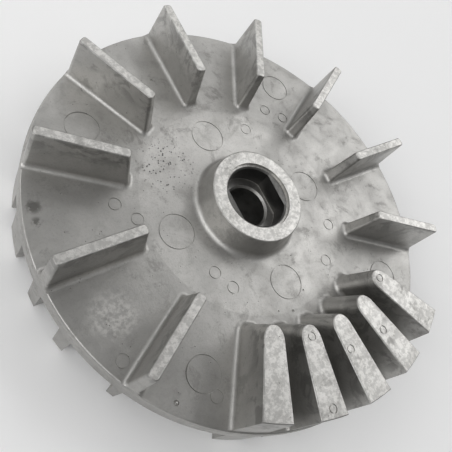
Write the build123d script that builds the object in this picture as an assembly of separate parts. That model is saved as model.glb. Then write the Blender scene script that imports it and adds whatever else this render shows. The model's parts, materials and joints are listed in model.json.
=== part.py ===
from build123d import *
from math import atan2, degrees
import os

# Flywheel of a small two-stroke engine: a die-cast aluminium wheel with a cast-in crank sleeve,
# two laminated pole shoes and their magnet.
# Units are millimetres. Z is the crank axis and +Z points away from the engine. The wheel lies on
# its rear hub face and the ends of its thick rear vanes, all at z = 0. The counterweight fins are
# on the -Y side and the magnet is on +Y.
# The casting is written as its natural sections, one node each. They meet face to face, except that
# the front blades and fins stand one micrometre off the disc.

# ---------------------------------------------------------------- disc
wheel_radius = 50.0            # over the parting ridge of the rim
rim_radius = 49.88
disc_front = 13.7              # front face of the disc, inside the blade roots
web_thickness = 3.0
rim_round = 0.3
dish_radius = 26.0             # outside this the front face falls away to the rim
dish_drop = 0.45
ridge_z = disc_front - 1.6     # parting ridge on the rim
ridge_width = 0.35
lip_inner = 46.0               # deeper rim band, all round except at the magnet
lip_back = disc_front - 4.3

# ---------------------------------------------------------------- front blades and fins
blade_height = 10.2
root_round = 1.2               # cast fillet round every front blade
top_round = 0.3
blade_count = 9
blade_pitch = 30.0
first_blade = -29.8
blade_inner = (27.9, 31.0)     # inner end at the disc and at the top
blade_outer = 49.7             # upright outer end
blade_half = (1.5, 1.1)        # half thickness at the disc and at the top: the cast draft
blade_corner = 0.7             # rounding of the plan's four corners
flare_radius = 49.85           # the root fillet is cut off here, flush with the rim

fin_count = 5                  # thick counterweight fins
fin_centre = 269.5
fin_pitch = 15.0
fin_inner = (27.7, 30.8)
fin_outer = (49.5, 49.3)
fin_half_inner = (2.1, 2.33)
fin_half_outer = (4.1, 3.4)
# The inner end is blunt at the disc and a long rounded nose at the top. At each of the two levels:
fin_tip_half = (1.3, 1.04)     # half width of its flat end before rounding
fin_tip_round = (1.3, 1.9)
fin_shoulder = (0.9, 1.87)     # how far behind the end the full width is reached
fin_shoulder_round = (1.3, 3.7)
fin_end_chamfer = 0.2

# ---------------------------------------------------------------- hub
boss_height = 6.25
boss_radius = (12.4, 11.25)    # at the disc and at the top
boss_round = 1.6
mouth_radius = 8.15            # shallow counterbore in the boss
mouth_depth = 0.65
socket_radius = 7.25           # double-D socket: round, with two flats facing +X and -X
socket_across_flats = 12.2
socket_floor = disc_front + 0.45
edge_break = 0.3
bore_radius = 5.0
bore_chamfer = 0.5
sleeve_radius = 8.4
collar_across_flats = 21.0     # twelve-sided collar that locks the sleeve in the casting
collar_sides = 12
collar_z = (disc_front - 2.6, disc_front - 0.6)
rear_hub_radius = (15.0, 14.0)

# ---------------------------------------------------------------- rear vanes
# Kinds: half width of the inner end and of the outer end, each at the disc and at the tip, then
# the height of the tip and its rounding.
thick_vane = ((2.2, 1.6), (4.0, 3.4), 0.0, 1.2)
thin_vane = ((1.9, 1.45), (1.9, 1.45), 0.6, 1.0)
stub_vane = ((1.4, 0.85), (1.4, 0.85), 2.9, 0.6)
vane_inner = (30.0, 33.0)      # inner end at the disc and at the tip
vane_outer = 49.7
vane_draft = 0.1               # the outer end leans in by this much towards the tip
vane_root_round = 1.0
# Each vane of the +X side has its mirror image on the -X side; the centre vanes are alone.
side_vanes = [(46.5, thin_vane), (28.0, thick_vane), (14.9, thick_vane), (0.0, thin_vane),
              (-12.1, thin_vane), (-28.3, stub_vane), (-60.7, thick_vane)]
centre_vanes = [254.5, 270.0, 285.5]

# ---------------------------------------------------------------- magnet group
magnet_direction = 90.0
housing_half_angle = 25.0
housing_span = (33.0, 49.5)
housing_rear = 0.8             # stands clear of what the wheel lies on
housing_round = 1.0
shoe_offset = 12.5             # middle of each pole shoe from the magnet's middle
shoe_width = 7.0
shoe_inner = 36.0
pole_radius = 49.8
stack_low = 1.6
lamination_count = 12
lamination_pitch = 0.73
lamination_gap = 0.03
magnet_span = (37.0, 43.5)
rivet_radius = 1.25
rivet_head_radius = 2.1
rivet_head_height = 0.55
rivet_head_round = 0.44
rivet_radii = (39.0, 45.2)     # two rivets through each shoe, at these distances from the axis

# ---------------------------------------------------------------- marks of the moulding die
# (distance from the axis, angle); each is a thin circular groove.
large_mark_radius = 4.05
inner_marks = [(19.6, 0.0), (19.6, 90.0), (19.6, 180.0), (19.6, 270.0)]
outer_mark_radius = 3.75
outer_marks = [(40.5, 45.0), (40.5, 135.0), (40.5, 225.0), (40.5, 315.0)]
small_mark_radius = 1.35
small_marks = [(22.3, 58.0), (23.5, 331.0), (23.6, 306.0), (27.2, 168.7), (31.4, 161.6), (19.4, 215.5),
               (20.7, 229.6), (32.0, 37.7), (31.1, 47.3), (43.9, 229.9), (46.6, 204.8)]
mark_width = 0.22
mark_depth = 0.16

# Small marks on the fins' tops: (distance from the axis, sideways from the fin's middle).
fin_marks = {2: [(33.3, 0.0), (47.4, 0.0)], 3: [(38.2, -1.2)], 4: [(39.5, -0.8)], 5: [(32.8, 0.0)]}
fin_mark_radius = 0.85

# Blow holes in the casting's face: (distance from the axis, angle, radius).
blow_holes = [(26.1, 265.4, 0.35), (25.3, 256.9, 0.25), (47.6, 220.4, 0.55), (23.2, 278.2, 0.28),
              (37.6, 100.3, 0.35)]

disc_back = disc_front - web_thickness
blade_z = disc_front + blade_height
boss_z = disc_front + boss_height
dish_slope = dish_drop / (rim_radius - dish_radius)
stack_high = stack_low + lamination_count * lamination_pitch - lamination_gap
magnet_half = shoe_offset - shoe_width / 2
work_radius = 60.0             # blanks run out to here and are then cut to the wheel
blank_end = work_radius - 2
bury = 1.0                     # blanks start this far inside the disc
seat_gap = 0.001               # front blades and fins are seated this close to the disc


# ---------------------------------------------------------------- helpers
def turned(shape, angle):
    """The shape turned about the crank axis."""
    return shape.rotate(Axis.Z, angle)


def spun(points):
    """A solid of revolution about the crank axis from (radius, height) corners."""
    return revolve(make_face(Plane.XZ * Polyline(*points, close=True)), Axis.Z)


def cylinder(radius, low, high, x=0.0, y=0.0):
    """An upright cylinder between two heights."""
    post = Cylinder(radius, high - low, align=(Align.CENTER, Align.CENTER, Align.MIN))
    return post.moved(Location((x, y, low)))


def block(x_span, y_span, z_span):
    """A box from its spans."""
    corner = Location((x_span[0], y_span[0], z_span[0]))
    sizes = (x_span[1] - x_span[0], y_span[1] - y_span[0], z_span[1] - z_span[0])
    return Box(*sizes, align=(Align.MIN, Align.MIN, Align.MIN)).moved(corner)


def sector(radii, heights, middle, half_angle):
    """A piece of a flat ring, centred on one direction."""
    section = Polyline((radii[0], heights[0]), (radii[1], heights[0]), (radii[1], heights[1]),
                       (radii[0], heights[1]), close=True)
    piece = revolve(make_face(Plane.XZ * section), Axis.Z, 2 * half_angle)
    return turned(piece, middle - half_angle)


def front_height(radius):
    """Height of the disc's front face at a distance from the axis."""
    return disc_front - dish_slope * max(0.0, radius - dish_radius)


def outline(corners, rounds, z):
    """A plan along +X at one height, from its corners on the +Y side and their roundings."""
    mirrored = [(x, -y) for x, y in reversed(corners)]
    face = make_face(Polyline(*corners, *mirrored, close=True))
    for (x, y), radius in zip(corners, rounds):
        if radius > 0:
            pair = [v for v in face.vertices() if abs(v.X - x) < 0.01 and abs(abs(v.Y) - y) < 0.01]
            face = fillet(pair, radius)
    return face.moved(Location((0, 0, z)))


def widened(inner, outer, half_inner, half_outer):
    """Half width of a straight-sided blade where its blank ends, outside the wheel."""
    return half_outer + (half_outer - half_inner) * (blank_end - outer) / (outer - inner)


def flat_edges(shape, z):
    """The edges of a shape that lie at one height."""
    return [e for e in shape.edges() if abs(e.bounding_box().min.Z - z) < 0.01
            and abs(e.bounding_box().max.Z - z) < 0.01]


def is_ring(edge, radius):
    """Whether an edge is a circle, or a part of one, of the given radius."""
    return edge.geom_type == GeomType.CIRCLE and abs(edge.radius - radius) < 0.01


def rings(shape, z, radius):
    """The circular edges of one radius at one height."""
    return [e for e in flat_edges(shape, z) if is_ring(e, radius)]


def polygon_bar(across_flats, sides, low, high):
    """An upright bar with an even number of flats."""
    face = RegularPolygon(across_flats / 2, sides, major_radius=False)
    return extrude(face, high - low).moved(Location((0, 0, low)))


def ring_groove(radius, width, depth):
    """The tool for a thin circular groove, centred on the surface that it cuts."""
    return Cylinder(radius + width / 2, 2 * depth) - Cylinder(radius - width / 2, 4 * depth)


# ---------------------------------------------------------------- disc
wide_front = turned(spun([(0, disc_back), (work_radius, disc_back), (work_radius, front_height(work_radius)),
                          (dish_radius, disc_front), (0, disc_front)]), 180)
wide_back = cylinder(work_radius, disc_back, disc_front)


def on_face(distance, angle):
    """A place on the disc's front face, square to it."""
    lean = degrees(atan2(dish_slope, 1)) if distance > dish_radius else 0.0
    return Location((0, 0, 0), (0, 0, angle)) * Location((distance, 0, front_height(distance)), (0, lean, 0))


def make_disc():
    """The web of the wheel: rounded rim, rear rim band, parting ridge, die marks, blow holes."""
    body = spun([(0, disc_back), (rim_radius, disc_back), (rim_radius, front_height(rim_radius)),
                 (dish_radius, disc_front), (0, disc_front)])
    body = fillet(flat_edges(body, front_height(rim_radius)), rim_round)
    body += sector((lip_inner, rim_radius), (lip_back, disc_back), magnet_direction + 180,
                   180 - housing_half_angle)
    body += spun([(rim_radius - 1, ridge_z - ridge_width), (rim_radius, ridge_z - ridge_width),
                  (wheel_radius, ridge_z), (rim_radius, ridge_z + ridge_width),
                  (rim_radius - 1, ridge_z + ridge_width)])
    for marks, radius in ((inner_marks, large_mark_radius), (outer_marks, outer_mark_radius),
                          (small_marks, small_mark_radius)):
        for distance, angle in marks:
            body -= ring_groove(radius, mark_width, mark_depth).moved(on_face(distance, angle))
    for distance, angle, radius in blow_holes:
        body -= Sphere(radius).moved(on_face(distance, angle))
    return body


# ---------------------------------------------------------------- front blades and fins
def rooted(blank, envelope):
    """A front blank with its cast root fillet, cut free from the disc and to an envelope."""
    joined = wide_front + blank
    roots = [e for e in joined.edges() if e.geom_type != GeomType.CIRCLE and e.center().X > 0
             and e.bounding_box().min.Z > disc_front - 1.5 and e.bounding_box().max.Z < disc_front + 0.01]
    free = (fillet(roots, root_round) & envelope) - wide_front
    return free.moved(Location((0, 0, seat_gap)))


def make_blade():
    """One thin front blade along +X."""
    outlines = []
    for level, z in ((0, disc_front - bury), (1, blade_z)):
        corners = [(blade_inner[level], blade_half[level]), (blade_outer, blade_half[level])]
        outlines.append(outline(corners, (blade_corner, blade_corner), z))
    blank = loft(outlines, ruled=True)
    blank = fillet(flat_edges(blank, blade_z), top_round)
    return rooted(blank, cylinder(flare_radius, disc_back, blade_z + 1))


def make_fin(marks):
    """One thick counterweight fin along +X: wide straight foot, top with a long rounded nose."""
    outlines = []
    for level, z in ((0, disc_front - bury), (1, blade_z)):
        inner, half = fin_inner[level], fin_half_inner[level]
        wide = widened(inner, fin_outer[level], half, fin_half_outer[level])
        corners = [(inner, fin_tip_half[level]), (inner + fin_shoulder[level], half), (blank_end, wide)]
        outlines.append(outline(corners, (fin_tip_round[level], fin_shoulder_round[level], 0), z))
    blank = loft(outlines, ruled=True)
    blank = fillet(flat_edges(blank, blade_z), top_round)
    envelope = spun([(0, disc_back), (fin_outer[0], disc_back), (fin_outer[0], disc_front),
                     (fin_outer[1], blade_z - fin_end_chamfer),
                     (fin_outer[1] - 2 * fin_end_chamfer, blade_z + fin_end_chamfer),
                     (0, blade_z + fin_end_chamfer)])
    fin = rooted(blank, turned(envelope, 180))
    for distance, sideways in marks:
        fin -= ring_groove(fin_mark_radius, mark_width, mark_depth).moved(Location((distance, sideways, blade_z)))
    return fin


# ---------------------------------------------------------------- hub
def make_sleeve():
    """The steel crank sleeve, cast in: plain bore, twelve-sided locking collar."""
    body = cylinder(sleeve_radius, 0, socket_floor)
    body += polygon_bar(collar_across_flats, collar_sides, *collar_z)
    body -= cylinder(bore_radius, -1, socket_floor + 1)
    ends = rings(body, 0, bore_radius) + rings(body, socket_floor, bore_radius)
    return chamfer(ends, bore_chamfer)


def make_boss():
    """The front hub boss: counterbore, double-D socket and the seat of the sleeve's end."""
    body = spun([(0, disc_front - bury), (boss_radius[0], disc_front - bury),
                 (boss_radius[0], disc_front), (boss_radius[1], boss_z), (0, boss_z)])
    joined = wide_front + body
    body = fillet(rings(joined, disc_front, boss_radius[0]), boss_round) - wide_front
    body = fillet(flat_edges(body, boss_z), edge_break)
    flats = block((-socket_across_flats / 2, socket_across_flats / 2), (-wheel_radius, wheel_radius),
                  (disc_front - 1, boss_z + 1))
    body -= cylinder(socket_radius, disc_front - 1, boss_z + 1) & flats
    body -= cylinder(mouth_radius, boss_z - mouth_depth, boss_z + 1)
    lip = [e for e in flat_edges(body, boss_z - mouth_depth) if not is_ring(e, mouth_radius)]
    body = chamfer(lip, edge_break)
    return body - cylinder(sleeve_radius, disc_front - 1, socket_floor)


def make_rear_hub():
    """The rear hub of the casting, round the sleeve, with its machined seat at z = 0."""
    body = spun([(0, 0), (rear_hub_radius[1], 0), (rear_hub_radius[0], disc_back),
                 (rear_hub_radius[0], disc_back + bury), (0, disc_back + bury)])
    joined = wide_back + body
    body = fillet(rings(joined, disc_back, rear_hub_radius[0]), boss_round) - wide_back
    body = chamfer(flat_edges(body, 0), bore_chamfer)
    return body - cylinder(sleeve_radius, -1, disc_back + 1)


# ---------------------------------------------------------------- rear vanes
def make_vane(kind, angle):
    """One rear vane with its root fillet and rounded tip."""
    inner_half, outer_half, tip, tip_round = kind
    outlines = []
    for level, z in ((0, disc_back + bury), (1, tip)):
        wide = widened(vane_inner[level], vane_outer, inner_half[level], outer_half[level])
        outlines.append(outline([(vane_inner[level], inner_half[level]), (blank_end, wide)], (0, 0), z))
    blank = loft(outlines, ruled=True)
    envelope = turned(spun([(0, -1), (vane_outer - vane_draft, -1), (vane_outer - vane_draft, 0),
                            (vane_outer, disc_back), (vane_outer, disc_back + bury),
                            (0, disc_back + bury)]), 180)
    joined = wide_back + blank
    roots = [e for e in flat_edges(joined, disc_back) if e.geom_type != GeomType.CIRCLE]
    vane = (fillet(roots, vane_root_round) & envelope) - wide_back
    vane = fillet(flat_edges(vane, tip), tip_round)
    return turned(vane, angle)


# ---------------------------------------------------------------- magnet group
def pole_piece(side, low, high, inner, outer):
    """A slab across one pole shoe's place, its outer end on the pole circle."""
    middle = side * shoe_offset
    slab = block((middle - shoe_width / 2, middle + shoe_width / 2), (inner, work_radius), (low, high))
    return slab & cylinder(outer, low - 1, high + 1)


def make_shoe(side):
    """One pole shoe: a stack of separate steel laminations, pierced for two rivets."""
    sheets = []
    for number in range(lamination_count):
        low = stack_low + number * lamination_pitch
        sheet = pole_piece(side, low, low + lamination_pitch - lamination_gap, shoe_inner, pole_radius)
        for distance in rivet_radii:
            sheet -= cylinder(rivet_radius, low - 1, low + 2, side * shoe_offset, distance)
        sheets.append(sheet)
    return sheets


def make_magnet():
    """The block magnet between the two shoes."""
    body = block((-magnet_half, magnet_half), magnet_span, (stack_low, stack_high))
    return chamfer(body.edges().filter_by(Axis.Z), edge_break)


def make_rivet(side, distance):
    """A rivet through the housing and one shoe, its low domed head on the rear face."""
    x = side * shoe_offset
    shank = cylinder(rivet_radius, housing_rear, disc_back, x, distance)
    head = cylinder(rivet_head_radius, housing_rear - rivet_head_height, housing_rear, x, distance)
    return shank + fillet(flat_edges(head, housing_rear - rivet_head_height), rivet_head_round)


def make_housing(disc):
    """The block of the casting that holds the magnet and the shoes, with its pockets."""
    body = sector(housing_span, (housing_rear, disc_back), magnet_direction, housing_half_angle)
    body = fillet(flat_edges(body, housing_rear) + body.edges().filter_by(Axis.Z), housing_round)
    for side in (-1, 1):
        body -= pole_piece(side, stack_low, stack_high, shoe_inner, work_radius)
        for distance in rivet_radii:
            body -= cylinder(rivet_radius, 0, disc_back + 1, side * shoe_offset, distance)
    body -= block((-magnet_half, magnet_half), magnet_span, (stack_low, stack_high))
    return body - disc


# ---------------------------------------------------------------- nodes
def save(name, shape):
    """Write one node, from one solid or from a list of separate solids."""
    shapes = shape if isinstance(shape, list) else [shape]
    solids = [solid for item in shapes for solid in item.solids()]
    node = solids[0] if len(solids) == 1 else Compound(children=solids)
    node.label = name
    export_step(node, f"parts/{name}.step")


def build_all():
    os.makedirs("parts", exist_ok=True)
    disc = make_disc() - cylinder(sleeve_radius, 0, disc_front + 1) - polygon_bar(
        collar_across_flats, collar_sides, *collar_z)
    save("wheel_disc", disc)
    save("crank_sleeve", make_sleeve())
    save("front_hub_boss", make_boss())
    save("rear_hub", make_rear_hub())

    blade = make_blade()
    for number in range(blade_count):
        save(f"front_blade_{number + 1}", turned(blade, first_blade + number * blade_pitch))
    for number in range(1, fin_count + 1):
        angle = fin_centre + (number - (fin_count + 1) / 2) * fin_pitch
        save(f"counterweight_fin_{number}", turned(make_fin(fin_marks.get(number, [])), angle))

    vanes = side_vanes + [(180 - angle, kind) for angle, kind in side_vanes]
    vanes += [(angle, thick_vane) for angle in centre_vanes]
    vanes = sorted(((angle % 360, kind) for angle, kind in vanes), key=lambda vane: vane[0])
    for number, (angle, kind) in enumerate(vanes, 1):
        save(f"rear_vane_{number:02d}", make_vane(kind, angle) - disc)

    save("magnet_housing", make_housing(disc))
    save("magnet", make_magnet())
    save("pole_shoe_right", make_shoe(1))
    save("pole_shoe_left", make_shoe(-1))
    save("pole_rivets", [make_rivet(side, distance) for side in (-1, 1) for distance in rivet_radii])


build_all()
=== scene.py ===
import json
from math import cos, radians, sin

import bpy
from mathutils import Matrix, Vector


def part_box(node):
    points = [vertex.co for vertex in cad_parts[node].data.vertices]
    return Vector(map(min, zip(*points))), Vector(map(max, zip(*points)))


# Looks of a die-cast engine flywheel. Every length is in metres, in the CAD frame: Z is the crank
# axis, +Z is the bladed front, and the counterweight fins are centred on -Y.

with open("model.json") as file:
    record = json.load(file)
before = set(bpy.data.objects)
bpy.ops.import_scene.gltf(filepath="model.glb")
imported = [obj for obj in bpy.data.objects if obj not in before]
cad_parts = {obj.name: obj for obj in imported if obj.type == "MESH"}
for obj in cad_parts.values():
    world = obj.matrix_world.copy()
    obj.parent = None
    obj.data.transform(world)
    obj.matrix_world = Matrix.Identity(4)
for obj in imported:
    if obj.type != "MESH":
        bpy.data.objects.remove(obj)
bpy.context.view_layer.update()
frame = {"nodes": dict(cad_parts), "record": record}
nodes = frame["nodes"]
scene = bpy.context.scene

# ---------------------------------------------------------------- places read from the frame
disc_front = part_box("wheel_disc")[1].z
sleeve_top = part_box("crank_sleeve")[1].z
slots = {part["node"]: part["material_slot"] for part in frame["record"]["subparts"]}

# ---------------------------------------------------------------- camera and light settings
view_azimuth = 17.3            # direction in which the camera looks, and how steeply down
view_down = 52.85
view_roll = 48.2
view_distance = 0.12675        # to the point of the disc's front plane in mid-frame
view_offset = (-0.0075, -0.0026)
view_lens = 45.1
view_sensor = 36.0
nearest_view = 0.005

softbox_size = 0.45
softbox_distance = 0.7
softboxes = {                  # direction in the sky (azimuth, elevation) and power in watts
    "key": (8, 40, 1.12),
    "right_back": (60, 40, 0.68),
    "back": (110, 35, 0.9),
    "left_back": (165, 30, 1.3),
    "left": (197, 40, 1.18),
    "left_high": (197, 65, 0.41),
    "right_front": (330, 35, 0.58),
}
room_light = 0.17
floor_size = 3.0
floor_gap = 0.0001             # keeps the floor clear of the vane ends


def aimed(location, target, roll=0.0):
    """A matrix at location whose -Z looks at target, rolled about that line."""
    forward = (Vector(target) - Vector(location)).normalized()
    level = forward.cross(Vector((0, 0, 1))).normalized()
    upright = level.cross(forward)
    right = cos(radians(roll)) * level + sin(radians(roll)) * upright
    up = right.cross(forward)
    turn = Matrix((right, up, -forward)).transposed()
    return Matrix.Translation(location) @ turn.to_4x4()


def direction(azimuth, elevation):
    """A unit vector towards a direction of the sky."""
    flat = cos(radians(elevation))
    turn = radians(azimuth)
    return Vector((flat * cos(turn), flat * sin(turn), sin(radians(elevation))))


def make_camera():
    data = bpy.data.cameras.new("camera")
    data.lens = view_lens
    data.sensor_width = view_sensor
    data.clip_start = nearest_view
    camera = bpy.data.objects.new("camera", data)
    scene.collection.objects.link(camera)
    target = Vector((view_offset[0], view_offset[1], disc_front))
    eye = target - view_distance * direction(view_azimuth, -view_down)
    camera.matrix_world = aimed(eye, target, view_roll)
    scene.camera = camera


def make_softbox(name, azimuth, elevation, power):
    data = bpy.data.lights.new(name, "AREA")
    data.shape = "SQUARE"
    data.size = softbox_size
    data.energy = power
    light = bpy.data.objects.new(name, data)
    scene.collection.objects.link(light)
    target = Vector((0, 0, disc_front))
    light.matrix_world = aimed(target + softbox_distance * direction(azimuth, elevation), target)


def make_lights():
    for name, (azimuth, elevation, power) in softboxes.items():
        make_softbox(name, azimuth, elevation, power)
    world = bpy.data.worlds.new("studio")
    world.use_nodes = True
    background = world.node_tree.nodes["Background"]
    background.inputs["Color"].default_value = (1, 1, 1, 1)
    background.inputs["Strength"].default_value = room_light
    scene.world = world
    scene.view_settings.view_transform = "Standard"


# ---------------------------------------------------------------- material kit
class Graph:
    """A short way to write a procedural material."""

    def __init__(self, name):
        self.material = bpy.data.materials.new(name)
        self.material.use_nodes = True
        self.tree = self.material.node_tree
        self.shader = self.tree.nodes["Principled BSDF"]
        self.coordinates = self.add("ShaderNodeTexCoord").outputs["Object"]

    def add(self, kind, **settings):
        node = self.tree.nodes.new(kind)
        for key, value in settings.items():
            setattr(node, key, value)
        return node

    def put(self, socket, value):
        """Links an output, or sets a plain value."""
        if isinstance(value, bpy.types.NodeSocket):
            self.tree.links.new(value, socket)
        else:
            socket.default_value = value

    def noise(self, scale, detail=4.0, roughness=0.55, distortion=0.0, vector=None):
        """Cloudy noise, scale in waves per metre."""
        node = self.add("ShaderNodeTexNoise")
        self.put(node.inputs["Vector"], vector or self.coordinates)
        node.inputs["Scale"].default_value = scale
        node.inputs["Detail"].default_value = detail
        node.inputs["Roughness"].default_value = roughness
        node.inputs["Distortion"].default_value = distortion
        return node.outputs["Fac"]

    def cells(self, scale):
        """Distance to the nearest of many scattered points, in cell widths."""
        node = self.add("ShaderNodeTexVoronoi", feature="F1")
        self.put(node.inputs["Vector"], self.coordinates)
        node.inputs["Scale"].default_value = scale
        return node.outputs["Distance"]

    def math(self, operation, first, second=0.0):
        node = self.add("ShaderNodeMath", operation=operation)
        self.put(node.inputs[0], first)
        self.put(node.inputs[1], second)
        return node.outputs[0]

    def times(self, first, *others):
        """The product of masks and plain numbers."""
        for other in others:
            first = self.math("MULTIPLY", first, other)
        return first

    def span(self, value, low, high, out_low=0.0, out_high=1.0):
        """Value mapped smoothly from one range onto another, and held at its ends."""
        node = self.add("ShaderNodeMapRange", interpolation_type="SMOOTHSTEP")
        self.put(node.inputs["Value"], value)
        for socket, number in zip(node.inputs[1:5], (low, high, out_low, out_high)):
            self.put(socket, number)
        return node.outputs["Result"]

    def mix(self, amount, first, second):
        """Two colours mixed."""
        node = self.add("ShaderNodeMix", data_type="RGBA")
        self.put(node.inputs["Factor"], amount)
        self.put(node.inputs["A"], first)
        self.put(node.inputs["B"], second)
        return node.outputs["Result"]

    def bump(self, height, distance, strength=1.0, under=None):
        node = self.add("ShaderNodeBump")
        node.inputs["Strength"].default_value = strength
        node.inputs["Distance"].default_value = distance
        self.put(node.inputs["Height"], height)
        if under is not None:
            self.put(node.inputs["Normal"], under)
        return node.outputs["Normal"]

    def position(self):
        """Height and distance from the crank axis."""
        split = self.add("ShaderNodeSeparateXYZ")
        self.put(split.inputs[0], self.coordinates)
        x, y, z = split.outputs
        return z, self.math("SQRT", self.math("ADD", self.times(x, x), self.times(y, y)))

    def facing_up(self):
        """1 on faces square to the crank axis at the front, 0 on walls."""
        split = self.add("ShaderNodeSeparateXYZ")
        self.put(split.inputs[0], self.add("ShaderNodeNewGeometry").outputs["Normal"])
        return self.span(split.outputs["Z"], 0.93, 0.99)

    def spot(self, distance, angle, height, size):
        """1 near one place on the wheel, fading to 0 at size from it."""
        turn = radians(angle)
        place = self.add("ShaderNodeVectorMath", operation="DISTANCE")
        self.put(place.inputs[0], self.coordinates)
        place.inputs[1].default_value = (distance * cos(turn), distance * sin(turn), height)
        return self.span(place.outputs["Value"], 0.35 * size, size, 1.0, 0.0)


def grey(level, yellow=0.05):
    """A grey that leans a little towards yellow."""
    return (level, level * (1 - 0.3 * yellow), level * (1 - yellow), 1)


# ---------------------------------------------------------------- materials
# Marks on the wheel: distance from the axis, angle, height, and how far each mark reaches.
stains = [(0.0475, 162.5, disc_front, 0.0022), (0.0472, 166.5, disc_front, 0.0016),
          (0.037, 239.7, disc_front + 0.007, 0.0022)]
pit_field = (0.0205, 134.0, disc_front, 0.0095)
rough_patch = (0.0416, 195.5, disc_front, 0.0065)
# Edges of the zones of colour, both skin marks and painted shade or highlight, each with the two
# ends of its fade.
outer_shade_edge = (0.0258, 0.0262)                            # radius; outside it the disc face is darkened as painted shade between the vanes
outer_shade_height = (disc_front, disc_front + 0.0005)
socket_edge = (0.0076, 0.0078)                           # radius; the bore wall inside it is painted dark as shade
socket_height = (sleeve_top, sleeve_top + 0.0003)
top_height = (disc_front + 0.002, disc_front + 0.0035)   # light, speckled flat top faces: machined skin, lightened partly as a painted highlight
side_height = (disc_front + 0.003, disc_front + 0.009)   # flow lines on the walls


def pitting(g):
    """1 in fine scattered pits and in the coarser ones of the pit field."""
    few = g.span(g.noise(420, detail=2), 0.56, 0.62)
    fine = g.times(g.span(g.cells(900), 0.05, 0.14, 1.0, 0.0), few)
    field = g.times(g.spot(*pit_field), g.span(g.noise(600, detail=3, roughness=0.7), 0.47, 0.55))
    coarse = g.span(g.cells(1300), 0.2, 0.34, 1.0, 0.0)
    return g.math("MAXIMUM", fine, g.times(coarse, field))


def cast_aluminium():
    """Satin die-cast skin: mottled, finely grained, pitted, with dull stains, painted shade in the
    bore and between the vanes, and a partly painted highlight on the flat top faces.
    """
    g = Graph("cast_aluminium")
    height, radius = g.position()
    level = g.facing_up()

    clouds = g.noise(70, detail=5, roughness=0.6)
    patches = g.noise(230, roughness=0.65, distortion=0.6)
    grain = g.noise(2600, detail=3, roughness=0.7)
    colour = g.mix(g.span(clouds, 0.32, 0.68), grey(0.42), grey(0.54))
    colour = g.mix(g.span(patches, 0.5, 0.78, 0.0, 0.45), colour, grey(0.31, 0.08))
    colour = g.mix(g.span(grain, 0.5, 0.75, 0.0, 0.35), colour, grey(0.24))

    # Flat top faces are lighter and speckled: partly their machined skin, partly a painted
    # highlight where they face the light.
    machined_tops_and_highlight = g.times(level, g.span(height, *top_height))
    speckle = g.span(g.noise(900, detail=3, roughness=0.7), 0.4, 0.62)
    colour = g.mix(g.times(machined_tops_and_highlight, 0.7), colour, g.mix(speckle, grey(0.5), grey(0.78)))
    # Painted shade: the disc face outside the ring radius is darkened for the shade between the
    # vanes.
    outer_shade = g.times(g.span(radius, *outer_shade_edge), g.span(height, *outer_shade_height, 1.0, 0.0))
    colour = g.mix(g.times(outer_shade, 0.22), colour, grey(0.3))

    blotches = g.span(g.noise(150, detail=7, roughness=0.78, distortion=0.4), 0.54, 0.63)
    colour = g.mix(g.times(blotches, 0.35), colour, grey(0.22, 0.08))
    side = g.times(g.math("SUBTRACT", 1.0, level), g.span(height, *side_height))
    flow_lines = g.span(g.noise(130, detail=6, roughness=0.6, distortion=2.5), 0.46, 0.58)
    colour = g.mix(g.times(side, flow_lines, 0.5), colour, grey(0.18))
    for place in stains:
        mark = g.times(g.spot(*place), g.span(g.noise(500, roughness=0.7), 0.4, 0.55))
        colour = g.mix(g.times(mark, 0.75), colour, grey(0.12, 0.1))
    scuff_grain = g.span(g.noise(1100, detail=3, roughness=0.7), 0.42, 0.6)
    scuff = g.times(g.spot(*rough_patch), scuff_grain)
    colour = g.mix(g.times(scuff, 0.45), colour, grey(0.75))
    # Painted shade: the bore wall above the sleeve is painted near black for the shade inside the
    # socket.
    socket_wall_shade = g.times(g.span(radius, *socket_edge, 1.0, 0.0), g.span(height, *socket_height))
    colour = g.mix(g.times(socket_wall_shade, 0.85), colour, grey(0.06))
    pits = pitting(g)
    colour = g.mix(g.times(pits, 0.8), colour, grey(0.08))

    rough = g.math("ADD", g.span(patches, 0.3, 0.75, 0.4, 0.54), g.times(blotches, 0.08))
    rough = g.math("ADD", rough, g.times(scuff, 0.15))
    normal = g.bump(g.noise(260, detail=3, roughness=0.5), 0.00012, 0.35)
    normal = g.bump(g.noise(900, roughness=0.7), 0.00006, 0.5, normal)
    normal = g.bump(grain, 0.00003, 0.5, normal)
    normal = g.bump(g.math("SUBTRACT", 1.0, pits), 0.0001, 0.6, normal)

    g.put(g.shader.inputs["Base Color"], colour)
    g.shader.inputs["Metallic"].default_value = 1.0
    g.put(g.shader.inputs["Roughness"], rough)
    g.put(g.shader.inputs["Normal"], normal)
    return g.material


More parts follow.
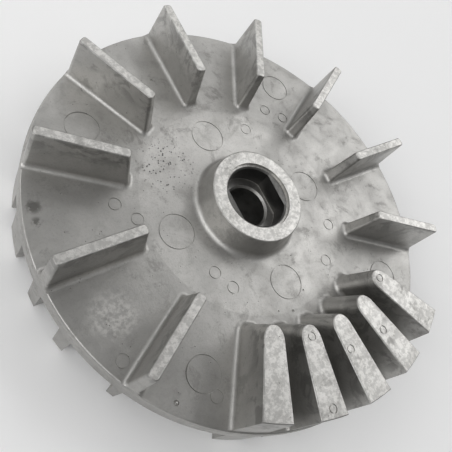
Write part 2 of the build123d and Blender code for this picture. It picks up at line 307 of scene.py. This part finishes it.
def steel(name, level, roughness, streak_scale):
    """Machined steel with fine streaks round the crank axis."""
    g = Graph(name)
    height, radius = g.position()
    combine = g.add("ShaderNodeCombineXYZ")
    g.put(combine.inputs[0], g.times(radius, streak_scale))
    g.put(combine.inputs[1], g.times(height, streak_scale))
    streaks = g.noise(1.0, detail=2, roughness=0.6, vector=combine.outputs[0])
    tarnish = g.noise(400, roughness=0.6)
    colour = g.mix(g.span(tarnish, 0.4, 0.75), grey(level), grey(level * 0.6, 0.08))
    colour = g.mix(g.span(streaks, 0.45, 0.7, 0.0, 0.4), colour, grey(level * 1.25))
    g.put(g.shader.inputs["Base Color"], colour)
    g.shader.inputs["Metallic"].default_value = 1.0
    g.put(g.shader.inputs["Roughness"], g.span(streaks, 0.3, 0.7, roughness, roughness + 0.15))
    g.put(g.shader.inputs["Normal"], g.bump(streaks, 0.00002, 0.4))
    return g.material


def dark_magnet():
    """Sintered magnet: dark, dull and finely grained."""
    g = Graph("magnet")
    grain = g.noise(3000, detail=3, roughness=0.7)
    g.put(g.shader.inputs["Base Color"], g.mix(g.span(grain, 0.4, 0.7), grey(0.05), grey(0.1, 0.1)))
    g.shader.inputs["Metallic"].default_value = 0.4
    g.put(g.shader.inputs["Roughness"], g.span(grain, 0.3, 0.7, 0.5, 0.75))
    g.put(g.shader.inputs["Normal"], g.bump(grain, 0.00004, 0.6))
    return g.material


def dress():
    """Gives every CAD node the material of its slot."""
    library = {
        "cast_aluminium": cast_aluminium(),
        "sleeve_steel": steel("sleeve_steel", 0.3, 0.35, 6000),
        "lamination_steel": steel("lamination_steel", 0.36, 0.35, 9000),
        "magnet": dark_magnet(),
        "rivet_steel": steel("rivet_steel", 0.5, 0.3, 5000),
    }
    for name, piece in nodes.items():
        for slot in piece.material_slots:
            slot.material = library[slots[name]]


# ---------------------------------------------------------------- floor
def make_floor():
    bpy.ops.mesh.primitive_plane_add(size=floor_size)
    floor = bpy.context.object
    floor.name = "floor"
    floor.location.z = -floor_gap
    g = Graph("floor")
    g.put(g.shader.inputs["Base Color"], g.mix(g.noise(8), grey(0.93, 0), grey(0.96, 0)))
    g.shader.inputs["Roughness"].default_value = 0.9
    floor.data.materials.append(g.material)


make_camera()
make_lights()
dress()
make_floor()
